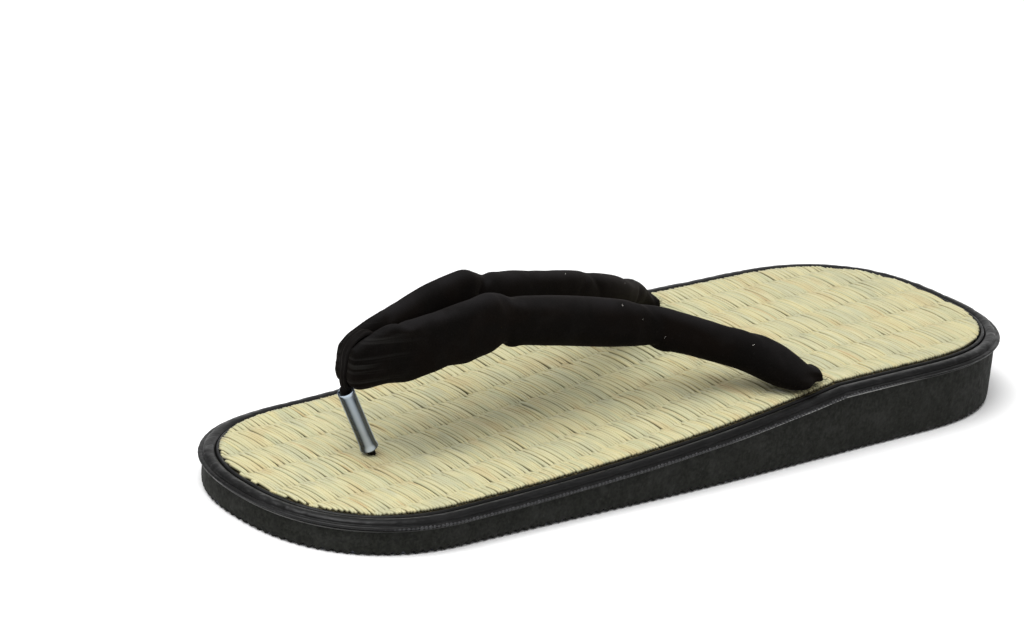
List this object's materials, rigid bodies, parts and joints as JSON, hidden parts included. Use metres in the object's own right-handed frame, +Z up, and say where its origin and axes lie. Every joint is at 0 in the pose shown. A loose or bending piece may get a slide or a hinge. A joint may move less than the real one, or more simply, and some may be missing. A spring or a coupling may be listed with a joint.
{
  "type": "zori sandal",
  "caption": "Flat zori sandal: foam wedge sole, rolled vinyl rim, rush mat and padded V-shaped velvet straps held at the toe by a sleeved loop.",
  "frame": {"origin": "on the ground, under the middle of the sole", "axes": "+Y from heel to toe, +X to the wearer's right, +Z up"},
  "size_m": [0.0948, 0.28, 0.0594],
  "materials": {
    "foam_rubber": "matt black, fine vertical grain on the wall, small pyramid tread beneath",
    "vinyl": "satin black leathercloth, softly creased",
    "piping": "satin black",
    "rush": "dry woven rush, pale straw with green and brown stalks",
    "velvet": "black velvet pile with a soft sheen",
    "ribbon": "black velvet ribbon",
    "clear_plastic": "clear flexible plastic tube"
  },
  "bodies": {
    "root": {"outsole": "foam_rubber", "footbed": "vinyl", "binding": "piping", "mat": "rush", "upper": "velvet", "toe_loop": "ribbon", "toe_sleeve": "clear_plastic"}
  },
  "joints": []
}
